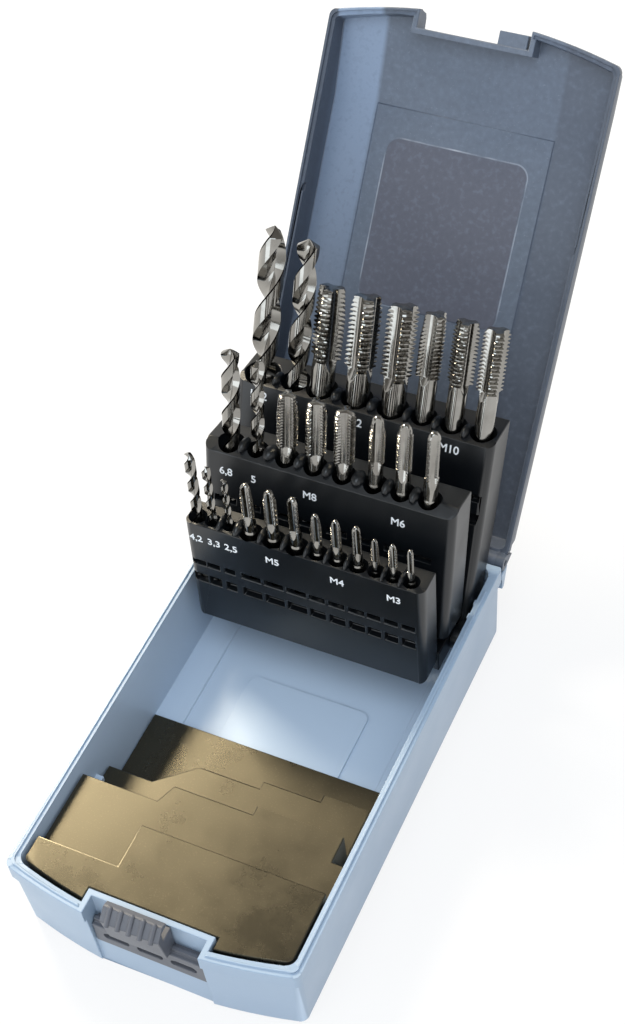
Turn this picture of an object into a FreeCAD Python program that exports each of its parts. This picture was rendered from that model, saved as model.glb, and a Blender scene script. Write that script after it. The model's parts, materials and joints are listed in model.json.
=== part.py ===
import FreeCAD, Part
import math
import os

# Hinged case for hand taps and twist drills, with three racks that swing up as the lid opens.
# Frame: +X right, +Y to the hinge, +Z up. Origin: middle of the flat bottom. Millimetres and degrees.

# Plan of the case, shared by tray and lid
rim_width = 112.0
rim_length = 182.0
front_bow = 7.3
rim_corner = 3.0

# Tray
tray_height = 38.0
rim_thickness = 3.4
rim_band_height = 7.3
body_inset = 0.8
body_draft = 0.7
body_corner = 3.6
bottom_round = 0.8
floor_thickness = 2.0
inner_corner = 4.0
inner_draft = 0.8
channel_width = 80.0
channel_depth = 1.0
pad_width = 50.0
pad_height = 0.8
pad_corner = 4.0
pad_start = 62.0
pad_end = 123.0
tongue_inset = 1.3
tongue_width = 0.8
tongue_height = 0.7
tongue_rear_gap = 14.0
nub_size = 2.4
nub_rear_places = (26.0, 19.5)
nub_drop = 2.2

# Latch pocket in the front of the tray
pocket_width = 44.0
pocket_back = 0.9
pocket_height = 23.0
pocket_wall = 2.2
panel_inset = 0.2

# Latch frame and slide
frame_height = 11.0
frame_front = 3.8
frame_side_gap = 0.3
frame_window_width = 10.0
frame_window_height = 3.4
frame_window_depth = 2.6
frame_window_pitch = 13.0
frame_window_round_share = 0.45
rail_width = 1.6
rail_height = 1.6
slide_width = 22.4
slide_rest = -2.6
slide_front = 7.6
slide_gap = 0.3
slide_back_gap = 0.4
slide_top = 6.4
slide_lip = 1.9
slide_nose = 2.0
slide_travel = 11.0
rib_count = 5
rib_radius = 0.95
rib_pitch = 4.2
rib_length = 6.5

# Lid
lid_depth = 14.5
lid_panel = 2.0
lid_draft = 1.6
lid_corner = 3.0
lid_rim = 2.3
lid_inner_corner = 1.6
lid_inner_draft = 0.8
lid_edge_round = 2.2
lid_nose_low = 6.0
lid_nose_high = 9.0
lid_nose_round = 4.0
lid_nose_run = 30.0
lid_groove_gap = 0.3
lid_bead_height = 3.2
lid_open_angle = 128.1
notch_width = 43.0
notch_depth = 0.5
notch_wall = 2.0
catch_reach = 4.4
catch_height = 4.0
catch_gap = 1.0
label_width = 56.0
label_length = 62.0
label_corner = 5.0
label_height = 0.6
label_start = 103.0
band_width = 70.0
band_height = 0.4
flange_notch = 3.0
flange_notch_depth = 0.8
flange_notch_place = 118.0

# Hinge
hinge_back = 1.9
hinge_drop = 1.0
knuckle_radius = 3.0
hinge_pin_radius = 1.2
hinge_pin_fit = 0.05
knuckle_gap = 0.4
knuckle_width = 11.4
knuckle_clear = 0.4
lug_drop = 13.0
lug_step = 0.8

# Rod that carries the racks
rod_from_rear = 30.5
rod_drop = 10.0
rod_radius = 1.5
rod_fit = 0.08
rod_seat_fit = 0.02
rod_boss_radius = 4.2
rod_bite = 1.4
arm_radius = 4.5
arm_width = 2.6
arm_gap = 0.4
hub_bottom = 6.0
side_bottom = 8.0

# Racks: gap to the tray's side walls, height above the rod, front and back faces ahead of the rod, and lean
# when up
rack_corner = 3.0
rack_edge = 0.7
front_rack_side_gap = 5.6
front_rack_top = 49.5
front_rack_bottom = 1.5
front_rack_face = 24.5
front_rack_back = 13.0
front_rack_lean = 3.5
middle_rack_side_gap = 3.35
middle_rack_top = 66.3
middle_rack_slant_drop = 3.0
middle_rack_slant_run = 4.3
middle_rack_face = 12.3
middle_rack_back = -3.0
middle_rack_lean = 13.5
rear_rack_side_gap = 1.85
rear_rack_top = 78.5
rear_rack_slant_drop = 2.0
rear_rack_slant_run = 3.5
rear_rack_rise = 3.2
rear_rack_bottom = 1.0
rear_rack_face = -5.0
rear_rack_back = -20.0
rear_rack_shoulder = 1.5
rear_rack_shoulder_low = 24.0
rear_rack_shoulder_high = 40.0
rear_rack_lean = 23.5
front_tool_depth = 4.3
middle_tool_depth = 5.3
rear_tool_depth = 6.3
bore_clearance = 0.25
bore_end_gap = 0.3
funnel_spread = 1.2
funnel_depth = 4.0
window_drop = 19.5
window_low_drop = 27.0
window_height = 2.6
window_low_height = 4.4
window_depth = 2.6
window_side = 0.6
back_pocket_depth = 1.8
back_pocket_width = 7.6
back_pocket_pitch = 10.2
back_pocket_margin = 9.0

# Stepped inlay: level tops below the rim, gaps between its steps and the tips of the folded tools,
# and the sides of the steps as shares of half the width
inlay_gap = 0.6
inlay_corner = 3.0
inlay_rear_gap = 35.4
level_a_drop = 33.0
level_b_drop = 21.5
level_c_drop = 6.0
level_d_drop = 1.0
b_ramp_gap = 10.9
b_five_gap = 6.1
b_four_gap = 7.9
b_three_gap = 8.5
c_drill_gap = 1.2
c_eight_gap = 5.5
c_six_gap = 0.7
c_notch_depth = 10.2
c_slant = 3.0
d_drill_gap = 0.6
d_tap_gap = 0.3
b_ramp_left_share = -0.589
b_ramp_right_share = -0.346
b_four_left_share = 0.089
b_three_left_share = 0.496
b_right_share = 0.821
c_drill_right_share = -0.321
c_six_left_share = 0.232
c_notch_left_share = 0.83
d_drill_right_share = -0.348
clip_place = 50.0
clip_size = 2.6

# Drills: diameter, whole length, fluted length, place as a share of half the rack, tip above the rod
drill_10_2_diameter = 10.2
drill_10_2_length = 133.0
drill_10_2_flutes = 87.0
drill_10_2_place_share = -0.853
drill_10_2_tip = 136.3
drill_8_5_diameter = 8.5
drill_8_5_length = 117.0
drill_8_5_flutes = 75.0
drill_8_5_place_share = -0.583
drill_8_5_tip = 134.5
drill_6_8_diameter = 6.8
drill_6_8_length = 109.0
drill_6_8_flutes = 69.0
drill_6_8_place_share = -0.818
drill_6_8_tip = 105.4
drill_5_0_diameter = 5.0
drill_5_0_length = 86.0
drill_5_0_flutes = 52.0
drill_5_0_place_share = -0.601
drill_5_0_tip = 103.6
drill_4_2_diameter = 4.2
drill_4_2_length = 75.0
drill_4_2_flutes = 43.0
drill_4_2_place_share = -0.919
drill_4_2_tip = 81.6
drill_3_3_diameter = 3.3
drill_3_3_length = 65.0
drill_3_3_flutes = 36.0
drill_3_3_place_share = -0.787
drill_3_3_tip = 77.1
drill_2_5_diameter = 2.5
drill_2_5_length = 57.0
drill_2_5_flutes = 30.0
drill_2_5_place_share = -0.645
drill_2_5_tip = 73.4
drill_core_share = 0.32
drill_land_share = 0.4
drill_lead_share = 5.6
drill_point_share = 0.3
drill_tip_share = 0.1
drill_sections_per_turn = 8
drill_least_sections = 6

# Taps: thread diameter, shank diameter, whole length, threaded length, first place and distance as shares
# of half the rack, tip above the rod
tap_12_thread = 12.0
tap_12_shank = 9.0
tap_12_length = 75.0
tap_12_cut = 28.0
tap_12_first_share = -0.378
tap_12_pitch_share = 0.28
tap_12_tip = 119.0
tap_10_thread = 10.0
tap_10_shank = 7.0
tap_10_length = 70.0
tap_10_cut = 24.0
tap_10_first_share = 0.422
tap_10_pitch_share = 0.227
tap_10_tip = 119.2
tap_8_thread = 8.0
tap_8_shank = 6.0
tap_8_length = 56.0
tap_8_cut = 22.0
tap_8_first_share = -0.361
tap_8_pitch_share = 0.227
tap_8_tip = 93.4
tap_6_thread = 6.0
tap_6_shank = 6.0
tap_6_length = 50.0
tap_6_cut = 19.0
tap_6_first_share = 0.339
tap_6_pitch_share = 0.213
tap_6_tip = 94.6
tap_5_thread = 5.0
tap_5_shank = 6.0
tap_5_length = 50.0
tap_5_cut = 16.0
tap_5_first_share = -0.46
tap_5_pitch_share = 0.194
tap_5_tip = 74.6
tap_4_thread = 4.0
tap_4_shank = 4.5
tap_4_length = 45.0
tap_4_cut = 13.0
tap_4_first_share = 0.104
tap_4_pitch_share = 0.166
tap_4_tip = 69.6
tap_3_thread = 3.0
tap_3_shank = 3.5
tap_3_length = 40.0
tap_3_cut = 11.0
tap_3_first_share = 0.581
tap_3_pitch_share = 0.143
tap_3_tip = 66.0
tap_core_share = 0.78
tap_flute_share = 0.27
tap_flute_place_share = 0.56
tap_square_share = 0.8
tap_square_length_share = 1.1
tap_neck_share = 0.5
tap_lead_shares = (0.42, 0.22, 0.1)
tap_flute_count = 3

# One overrun for every cut, and how nearly parallel two directions count as one
over = 1.0
nearly_one = 0.999

# Places worked out from the sizes above
front_y = -rim_length / 2
rear_y = rim_length / 2
half_rim = rim_width / 2
rim_z = tray_height
hinge_y = rear_y + hinge_back
hinge_z = rim_z - hinge_drop
rod_y = rear_y - rod_from_rear
rod_from_front = rod_y - front_y
rod_z = rim_z - rod_drop
inner_half = half_rim - rim_thickness
floor_z = floor_thickness
ledge_z = floor_thickness + channel_depth
pocket_y = front_y + pocket_back
half_pocket = pocket_width / 2
half_front = inner_half - front_rack_side_gap
half_middle = inner_half - middle_rack_side_gap
half_rear = inner_half - rear_rack_side_gap
front_rack_width = half_front * 2
middle_rack_width = half_middle * 2
rear_rack_width = half_rear * 2
nose_y = front_y - front_bow - over
X_AXIS = FreeCAD.Vector(1, 0, 0)
Y_AXIS = FreeCAD.Vector(0, 1, 0)
Z_AXIS = FreeCAD.Vector(0, 0, 1)
ORIGIN = FreeCAD.Vector(0, 0, 0)


# Basic shapes


def vec(x, y, z):
    return FreeCAD.Vector(x, y, z)


def box(x0, x1, y0, y1, z0, z1):
    return Part.makeBox(x1 - x0, y1 - y0, z1 - z0, vec(x0, y0, z0))


def rod(radius, start, end):
    axis = end.sub(start)
    return Part.makeCylinder(radius, axis.Length, start, axis)


def bowed_wire(half, front, back, bow, corner, z):
    """Closed plan outline: straight sides and back, bowed front, four rounded corners."""
    bow_radius = (half * half + bow * bow) / (2 * bow)
    middle = front - bow + bow_radius
    low = middle - math.sqrt((bow_radius - corner) ** 2 - (half - corner) ** 2)
    reach = math.hypot(half - corner, middle - low)
    touch_x = (half - corner) / reach * bow_radius
    touch_y = middle - (middle - low) / reach * bow_radius
    slant = math.atan2(touch_y - low, touch_x - (half - corner)) / 2
    diagonal = corner * math.sqrt(0.5)

    def arc(a, b, c):
        return Part.Arc(a, b, c).toShape()

    def line(a, b):
        return Part.makeLine(a, b)

    right_mid = vec(half - corner + corner * math.cos(slant), low + corner * math.sin(slant), z)
    left_mid = vec(-right_mid.x, right_mid.y, z)
    back_in = half - corner + diagonal
    back_up = back - corner + diagonal
    return Part.Wire([
        arc(vec(-touch_x, touch_y, z), vec(0, front - bow, z), vec(touch_x, touch_y, z)),
        arc(vec(touch_x, touch_y, z), right_mid, vec(half, low, z)),
        line(vec(half, low, z), vec(half, back - corner, z)),
        arc(vec(half, back - corner, z), vec(back_in, back_up, z), vec(half - corner, back, z)),
        line(vec(half - corner, back, z), vec(corner - half, back, z)),
        arc(vec(corner - half, back, z), vec(-back_in, back_up, z), vec(-half, back - corner, z)),
        line(vec(-half, back - corner, z), vec(-half, low, z)),
        arc(vec(-half, low, z), left_mid, vec(-touch_x, touch_y, z)),
    ])


def case_wire(inset, corner, z):
    return bowed_wire(half_rim - inset, front_y + inset, rear_y - inset, front_bow, corner, z)


def case_block(sections):
    """Solid through plan outlines, each given as (inset, corner, height)."""
    return Part.makeLoft([case_wire(*section) for section in sections], True, True)


def case_ring(inset, width, z0, z1, corner):
    outer = case_block([(inset, corner, z0), (inset, corner, z1)])
    inner = case_block([(inset + width, corner, z0 - over), (inset + width, corner, z1 + over)])
    return outer.cut(inner)


def extruded(points, direction):
    """Prism over a closed outline of points."""
    return Part.Face(Part.makePolygon(points + points[:1])).extrude(direction)


def round_along(solid, radius, axis):
    """Rounds the straight edges that run along an axis."""
    edges = [e for e in solid.Edges if abs(e.tangentAt(e.FirstParameter).dot(axis)) > nearly_one]
    return solid.makeFillet(radius, edges)


def round_upright(solid, radius):
    return round_along(solid, radius, Z_AXIS)


# Tray


def knuckle_spans():
    """(owner, inner end, outer end) of each hinge knuckle on one side, from the outside in."""
    spans = []
    outer = half_rim
    for owner in ("lid", "tray", "lid"):
        spans.append((owner, outer - knuckle_width, outer))
        outer -= knuckle_width + knuckle_gap
    return spans


def hinge_barrel(radius, x0, x1):
    return rod(radius, vec(x0, hinge_y, hinge_z), vec(x1, hinge_y, hinge_z))


def both_sides(x0, x1):
    return ((x0, x1), (-x1, -x0))


def corner_lug(x0, x1):
    """Block on the rear wall below the outermost knuckle of the lid."""
    top = hinge_z - knuckle_radius - knuckle_clear
    wall = rear_y - body_inset - body_draft
    return extruded([
        vec(x0, wall, top),
        vec(x0, hinge_y + knuckle_radius - lug_step, top),
        vec(x0, rear_y, rim_z - lug_drop),
        vec(x0, wall, rim_z - lug_drop),
    ], vec(x1 - x0, 0, 0))


def tray_lug(x0, x1):
    """Barrel with the web that carries it down the rear wall."""
    web = extruded([
        vec(x0, rear_y - body_inset - body_draft, rim_z - hinge_drop),
        vec(x0, hinge_y, hinge_z),
        vec(x0, hinge_y + knuckle_radius - lug_step, hinge_z - knuckle_radius),
        vec(x0, rear_y, rim_z - lug_drop),
        vec(x0, rear_y - body_inset - body_draft, rim_z - lug_drop),
    ], vec(x1 - x0, 0, 0))
    return hinge_barrel(knuckle_radius, x0, x1).fuse(web)


def make_tray():
    band_z = rim_z - rim_band_height
    body = case_block([
        (body_inset + body_draft + bottom_round, body_corner, 0),
        (body_inset + body_draft, body_corner, bottom_round),
        (body_inset, body_corner, band_z + over),
    ])
    band = case_block([(0, rim_corner, band_z), (0, rim_corner, rim_z)])
    tongue = case_ring(tongue_inset, tongue_width, rim_z - over, rim_z + tongue_height, rim_corner)
    tongue = tongue.cut(box(-half_rim, half_rim, rear_y - tongue_rear_gap, rear_y, rim_z, rim_z + over))
    keep_out = half_pocket + pocket_wall
    tongue = tongue.cut(box(-keep_out, keep_out, nose_y, 0, rim_z, rim_z + over))
    shell = body.fuse([band, tongue])

    # Inside: drafted well, a lower channel down the middle of the floor and a raised pad in it
    well = case_block([
        (rim_thickness + inner_draft, inner_corner, ledge_z),
        (rim_thickness, inner_corner, rim_z + tongue_height + over),
    ])
    half_channel = channel_width / 2
    wall = rim_thickness + inner_draft
    channel = box(-half_channel, half_channel, front_y + wall, rear_y - wall, floor_z, ledge_z + over)
    half_pad = pad_width / 2
    pad = box(-half_pad, half_pad, front_y + pad_start, front_y + pad_end, floor_z, floor_z + pad_height)
    pad = round_upright(pad, pad_corner)
    bulge_half = half_pocket + pocket_wall
    pocket_low = rim_z - pocket_height
    bulge = box(-bulge_half, bulge_half, nose_y, pocket_y + pocket_wall, pocket_low - pocket_wall, rim_z)
    shell = shell.cut(well.fuse(channel).cut(bulge)).fuse(pad)
    pocket = box(-half_pocket, half_pocket, nose_y, pocket_y, pocket_low, rim_z + tongue_height + over)
    panel_y = front_y - frame_front + panel_inset
    panel = box(-half_pocket, half_pocket, nose_y, panel_y, -over, pocket_low + over)
    shell = shell.cut(pocket).cut(panel)

    # Bosses that hold the rod of the racks, and small nubs on the side walls
    boss_face = rear_rack_width / 2 + arm_gap
    wall_x = half_rim - body_inset - over
    extras = []
    for side in (-1, 1):
        inner_end = vec(side * boss_face, rod_y, rod_z)
        extras.append(rod(rod_boss_radius, inner_end, vec(side * wall_x, rod_y, rod_z)))
        for place in nub_rear_places:
            low, high = sorted((side * (inner_half - nub_size / 2), side * (inner_half + nub_size / 2)))
            y0 = rear_y - place
            extras.append(box(low, high, y0, y0 + nub_size, rim_z - nub_drop - nub_size, rim_z - nub_drop))
        low, high = sorted((side * (inner_half - inner_draft - clip_size), side * inner_half))
        y0 = front_y + clip_place
        clip_z = rim_z - level_b_drop + inlay_gap
        extras.append(box(low, high, y0, y0 + clip_size, clip_z, clip_z + clip_size))
    shell = shell.fuse(extras)
    bore_half = boss_face + (inner_half - boss_face) + rod_bite
    seat = rod_radius + rod_seat_fit
    shell = shell.cut(rod(seat, vec(-bore_half, rod_y, rod_z), vec(bore_half, rod_y, rod_z)))

    # Hinge knuckles of the tray, with room for those of the lid
    lugs = []
    room = []
    for owner, x0, x1 in knuckle_spans():
        for a, b in both_sides(x0, x1):
            if owner == "tray":
                lugs.append(tray_lug(a, b))
            else:
                room.append(hinge_barrel(knuckle_radius + knuckle_clear, a - knuckle_gap, b + knuckle_gap))
    _, inner, outer = knuckle_spans()[0]
    lugs.extend(corner_lug(a, b) for a, b in both_sides(inner, outer))
    shell = shell.cut(Part.makeCompound(room)).fuse(lugs)
    bore = hinge_barrel(hinge_pin_radius + hinge_pin_fit, -half_rim - over, half_rim + over)
    return shell.cut(bore).removeSplitter()


# Latch


def make_latch_frame():
    half = half_pocket - frame_side_gap
    low = rim_z - pocket_height
    top = low + frame_height
    front = front_y - frame_front
    block = box(-half, half, front, pocket_y, low, top)
    rail_y = (front + pocket_y - rail_width) / 2
    block = block.fuse(box(-half, half, rail_y, rail_y + rail_width, top, top + rail_height))
    windows = []
    for n in (-1, 0, 1):
        x = n * frame_window_pitch
        z = low + frame_height / 2
        windows.append(round_along(box(
            x - frame_window_width / 2, x + frame_window_width / 2, front - over, front + frame_window_depth,
            z - frame_window_height / 2, z + frame_window_height / 2,
        ), frame_window_height * frame_window_round_share, Y_AXIS))
    return block.cut(Part.makeCompound(windows))


def make_latch_slide():
    """Slide that runs along the frame's rail; its upper lip closes over the catch of the lid."""
    frame_top = rim_z - pocket_height + frame_height
    low = frame_top + slide_gap
    top = rim_z + slide_top
    back = pocket_y - slide_back_gap
    front = front_y - slide_front
    lip_back = front_y + notch_depth - slide_back_gap - over
    x0 = slide_rest - slide_width / 2
    hook_front = front_y - catch_reach - slide_gap
    hook_low = rim_z - slide_gap
    hook_top = rim_z + catch_height + slide_gap
    slide = extruded([
        vec(x0, front + slide_nose, low),
        vec(x0, back, low),
        vec(x0, back, hook_low),
        vec(x0, hook_front, hook_low),
        vec(x0, hook_front, hook_top),
        vec(x0, lip_back, hook_top),
        vec(x0, lip_back, top - slide_lip / 2),
        vec(x0, lip_back - slide_lip, top),
        vec(x0, front + slide_nose + slide_lip, top),
        vec(x0, front, top - slide_nose - slide_lip),
    ], vec(slide_width, 0, 0))
    rail_y = (front_y - frame_front + pocket_y) / 2
    groove_half = rail_width / 2 + slide_gap / 2
    slide = slide.cut(box(
        x0 - over, x0 + slide_width + over, rail_y - groove_half, rail_y + groove_half,
        low - over, frame_top + rail_height + slide_gap / 2,
    ))
    start = vec(0, front, top - slide_nose - slide_lip)
    end = vec(0, front + slide_nose + slide_lip, top)
    along = end.sub(start).normalize()
    ribs = []
    for n in range(rib_count):
        x = slide_rest + (n - (rib_count - 1) / 2) * rib_pitch
        foot = end.sub(along * rib_length)
        ribs.append(rod(rib_radius, vec(x, foot.y, foot.z), vec(x, end.y, end.z)))
        ribs.append(Part.makeSphere(rib_radius, vec(x, end.y, end.z)))
    return slide.fuse(ribs).removeSplitter()


# Lid, made closed and then swung open


def nose_cut(drop):
    """Room above the sloping front of the lid, lowered by the panel's thickness for the inside."""
    top_z = rim_z + lid_depth - drop
    high_z = rim_z + lid_nose_high - drop
    low_z = rim_z + lid_nose_low if drop == 0 else high_z
    round_y = front_y - front_bow + lid_nose_round
    run_y = front_y + lid_nose_run
    return extruded([
        vec(-rim_width, nose_y, low_z),
        vec(-rim_width, round_y, high_z),
        vec(-rim_width, run_y, top_z),
        vec(-rim_width, run_y, top_z + lid_depth),
        vec(-rim_width, nose_y, top_z + lid_depth),
    ], vec(2 * rim_width, 0, 0))


def make_lid():
    top_z = rim_z + lid_depth
    bead_top = rim_z + lid_bead_height
    shell = case_block([
        (body_inset / 2, rim_corner, bead_top - over),
        (lid_draft, lid_corner, top_z - lid_edge_round),
        (lid_draft + lid_edge_round, lid_corner, top_z),
    ])
    shell = shell.fuse(case_block([(0, rim_corner, rim_z), (0, rim_corner, bead_top)])).cut(nose_cut(0))
    well = case_block([
        (lid_rim, lid_inner_corner, rim_z - over),
        (lid_rim, lid_inner_corner, bead_top),
        (lid_rim + lid_inner_draft, lid_inner_corner, top_z - lid_panel),
    ]).cut(nose_cut(lid_panel))
    notch_half = notch_width / 2
    notch_y = front_y + notch_depth
    guard_half = notch_half + notch_wall
    guard = box(-guard_half, guard_half, nose_y, notch_y + notch_wall, rim_z - over, top_z)
    shell = shell.cut(well.cut(guard))
    shell = shell.cut(box(-notch_half, notch_half, nose_y, notch_y, rim_z - over, top_z + over))

    # Groove for the tongue of the tray, open over the hinge
    groove = case_ring(
        tongue_inset - lid_groove_gap, tongue_width + 2 * lid_groove_gap, rim_z - over,
        rim_z + tongue_height + lid_groove_gap, rim_corner,
    )
    keep_out = guard_half - over
    groove = groove.cut(box(-keep_out, keep_out, nose_y, notch_y + notch_wall + over, rim_z - over, top_z))
    shell = shell.cut(groove)

    # Catch of the latch, label field, middle band and two small notches in the flange
    catch_x = slide_rest + slide_width / 2 + catch_gap
    catch_front = front_y - catch_reach
    catch_low, catch_top = rim_z + slide_gap, rim_z + catch_height
    catch = box(catch_x, catch_x + slide_travel, catch_front, notch_y, catch_low, catch_top)
    label_y = front_y + label_start
    panel_z = top_z - lid_panel
    half_label = label_width / 2
    label_start_y = label_y - label_length
    field = box(-half_label, half_label, label_start_y, label_y, panel_z - label_height, panel_z + over)
    dish = box(-half_label, half_label, label_start_y, label_y, top_z - label_height, top_z + over)
    field = round_upright(field, label_corner)
    dish = round_upright(dish, label_corner)
    band_end = rear_y - lid_rim - lid_inner_draft
    half_band = band_width / 2
    band_start = front_y + lid_nose_run
    band = box(-half_band, half_band, band_start, band_end, panel_z - band_height, panel_z + over)
    shell = shell.fuse([catch, field, band]).cut(dish)
    lid_half = half_rim - lid_rim
    for side in (-1, 1):
        low, high = sorted((side * (lid_half - over), side * (lid_half + flange_notch_depth)))
        y = rear_y - flange_notch_place
        shell = shell.cut(box(low, high, y, y + flange_notch, rim_z - over, bead_top))

    # Hinge knuckles of the lid, with room for those of the tray
    webs = []
    room = []
    for owner, x0, x1 in knuckle_spans():
        for a, b in both_sides(x0, x1):
            if owner == "lid":
                webs.append(hinge_barrel(knuckle_radius, a, b))
                webs.append(extruded([
                    vec(a, rear_y - body_inset, rim_z + slide_gap),
                    vec(a, hinge_y, hinge_z),
                    vec(a, hinge_y + knuckle_radius - lug_step, hinge_z + knuckle_radius - lug_step),
                    vec(a, rear_y - body_inset, rim_z + knuckle_radius * 2),
                ], vec(b - a, 0, 0)))
            else:
                room.append(hinge_barrel(knuckle_radius + knuckle_clear, a - knuckle_gap, b + knuckle_gap))
    shell = shell.cut(Part.makeCompound(room)).fuse(webs)
    shell = shell.cut(hinge_barrel(hinge_pin_radius + hinge_pin_fit, -half_rim - over, half_rim + over))
    shell = shell.removeSplitter()
    shell.rotate(vec(0, hinge_y, hinge_z), X_AXIS, -lid_open_angle)
    return shell


def make_hinge_pin(side):
    spans = knuckle_spans()
    inner, outer = spans[-1][1], spans[0][2]
    low, high = sorted((side * inner, side * (outer - knuckle_gap)))
    return hinge_barrel(hinge_pin_radius, low, high)


def make_rack_rod():
    reach = inner_half + rod_bite - bore_end_gap
    return rod(rod_radius, vec(-reach, rod_y, rod_z), vec(reach, rod_y, rod_z))


# Tools, made upright with the shank end at the origin


def drill_section(radius, core, z, turn):
    """Two lands joined by two flutes, turned about the axis."""
    land = math.pi * drill_land_share
    points = []
    for half_turn in (0, math.pi):
        for angle, reach in ((-land / 2, radius), (0, radius), (land / 2, radius), (math.pi / 2, core)):
            a = half_turn + angle + turn
            points.append(vec(reach * math.cos(a), reach * math.sin(a), z))
    edges = []
    for n in (0, 2, 4, 6):
        trio = (points[n], points[n + 1], points[(n + 2) % len(points)])
        edges.append(Part.Arc(*trio).toShape())
    return Part.Wire(edges)


def make_drill(diameter, length, fluted):
    radius = diameter / 2
    core = radius * drill_core_share
    point = diameter * drill_point_share
    lead = diameter * drill_lead_share
    run = fluted - point
    steps = max(math.ceil(run / lead * drill_sections_per_turn), drill_least_sections)
    start = length - fluted
    sections = []
    for n in range(steps + 1):
        z = start + run * n / steps
        sections.append(drill_section(radius, core, z, 2 * math.pi * (z - start) / lead))
    spiral = Part.makeLoft(sections, True, False)
    shank = Part.makeCylinder(radius, start, ORIGIN)
    end = drill_section(radius * drill_tip_share, core * drill_tip_share, length, 2 * math.pi * run / lead)
    tip = Part.makeLoft([sections[-1], end], True, True)
    return shank.fuse([spiral, tip])


def make_tap(thread, shank, length, cut, lead_share):
    """Shank with a squared end, threaded head with three flutes and a tapered lead."""
    lead = cut * lead_share
    tip_radius = thread / 2 * tap_core_share
    neck = cut * tap_neck_share
    head = length - cut
    neck_radius = min(shank, thread * tap_core_share) / 2
    body = Part.makeCylinder(shank / 2, head - neck, ORIGIN)
    body = body.fuse([
        Part.makeCone(shank / 2, neck_radius, neck / 2, vec(0, 0, head - neck)) if shank / 2 > neck_radius
        else Part.makeCylinder(neck_radius, neck / 2, vec(0, 0, head - neck)),
        Part.makeCylinder(neck_radius, neck / 2, vec(0, 0, head - neck / 2)),
        Part.makeCylinder(thread / 2, cut - lead, vec(0, 0, head)),
        Part.makeCone(thread / 2, tip_radius, lead, vec(0, 0, length - lead)),
    ])
    flutes = []
    for n in range(tap_flute_count):
        angle = 2 * math.pi * n / tap_flute_count
        place = thread * tap_flute_place_share
        centre = vec(place * math.cos(angle), place * math.sin(angle), head - neck / 2)
        flutes.append(Part.makeCylinder(thread * tap_flute_share, cut + neck, centre))
    body = body.cut(Part.makeCompound(flutes))
    flat = shank * tap_square_share / 2
    tall = shank * tap_square_length_share
    frame = box(-shank, shank, -shank, shank, -over, tall)
    frame = frame.cut(box(-flat, flat, -flat, flat, -over, tall))
    return body.cut(frame).removeSplitter()


def tap_set(size, thread, shank, length, cut, half, first_share, pitch_share, tip):
    found = []
    for n, name in enumerate(("taper", "second", "bottoming")):
        tap = make_tap(thread, shank, length, cut, tap_lead_shares[n])
        place = half * (first_share + n * pitch_share)
        found.append((f"tap_m{size}_{name}", shank, length, place, tip, tap))
    return found


def drill_entry(name, diameter, length, fluted, half, place_share, tip):
    shape = make_drill(diameter, length, fluted)
    return (f"drill_{name}", diameter, length, half * place_share, tip, shape)


# Racks, made upright round the rod at the origin: front faces towards -Y


def funnel(x, y, lip, peak, bore):
    wide = bore + funnel_spread
    cone = Part.makeCone(bore, wide, funnel_depth, vec(x, y, lip - funnel_depth))
    return cone.fuse(Part.makeCylinder(wide, peak - lip + over, vec(x, y, lip)))


def rack_block(width, bottom, top, face, outline):
    """Rounded block over a side outline of (y, z) points."""
    half = width / 2
    block = extruded([vec(-half, y, z) for y, z in outline], vec(width, 0, 0))
    edges = []
    for edge in block.Edges:
        ends = [v.Point for v in edge.Vertexes]
        upright = abs(ends[0].z - ends[1].z) > (top - bottom) / 2
        at_front = all(abs(p.y + face) < rack_edge for p in ends)
        low = all(abs(p.z - bottom) < rack_edge for p in ends) and abs(ends[0].x - ends[1].x) < rack_edge
        if (upright and at_front) or low:
            edges.append(edge)
    return block.makeFillet(rack_corner, edges)


def bored(block, lip, peak, face, depth, tools):
    """Sockets for the tools, from the front lip of the top up past its peak, with windows below."""
    cuts = []
    for _, shank, length, place, tip, _ in tools:
        bore = shank / 2 + bore_clearance
        y = -face + depth
        low = tip - length - bore_end_gap
        cuts.append(Part.makeCylinder(bore, peak - low + over, vec(place, y, low)))
        cuts.append(funnel(place, y, lip, peak, bore))
        half = bore + window_side
        for drop, height in ((window_drop, window_height), (window_low_drop, window_low_height)):
            z = lip - drop
            cuts.append(box(place - half, place + half, -face - over, -face + window_depth, z - height, z))
    for cut in cuts:
        block = block.cut(cut)
    return block


def arms(inner, outer, y0, y1):
    """A pair of arms that reach from the rack to the rod."""
    found = []
    for a, b in both_sides(inner, outer):
        found.append(rod(arm_radius, vec(a, 0, 0), vec(b, 0, 0)))
        found.append(box(a, b, min(y0, y1), max(y0, y1), -arm_radius, arm_radius))
    return found


def back_pockets(width, back, bottom, top):
    """Shallow upright pockets that leave ribs on the back of a rack."""
    count = int((width - back_pocket_margin) / back_pocket_pitch)
    pockets = []
    for n in range(count):
        x = (n - (count - 1) / 2) * back_pocket_pitch
        pockets.append(box(
            x - back_pocket_width / 2, x + back_pocket_width / 2, back - back_pocket_depth, back + over,
            bottom + back_pocket_margin, top - back_pocket_margin,
        ))
    return Part.makeCompound(pockets)


def rod_bore(width):
    return rod(rod_radius + rod_fit, vec(-width, 0, 0), vec(width, 0, 0))


rear_arm_outer = rear_rack_width / 2
rear_arm_inner = rear_arm_outer - arm_width
front_arm_outer = rear_arm_inner - arm_gap
front_arm_inner = front_arm_outer - arm_width
hub_half = front_arm_inner - arm_gap


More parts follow.
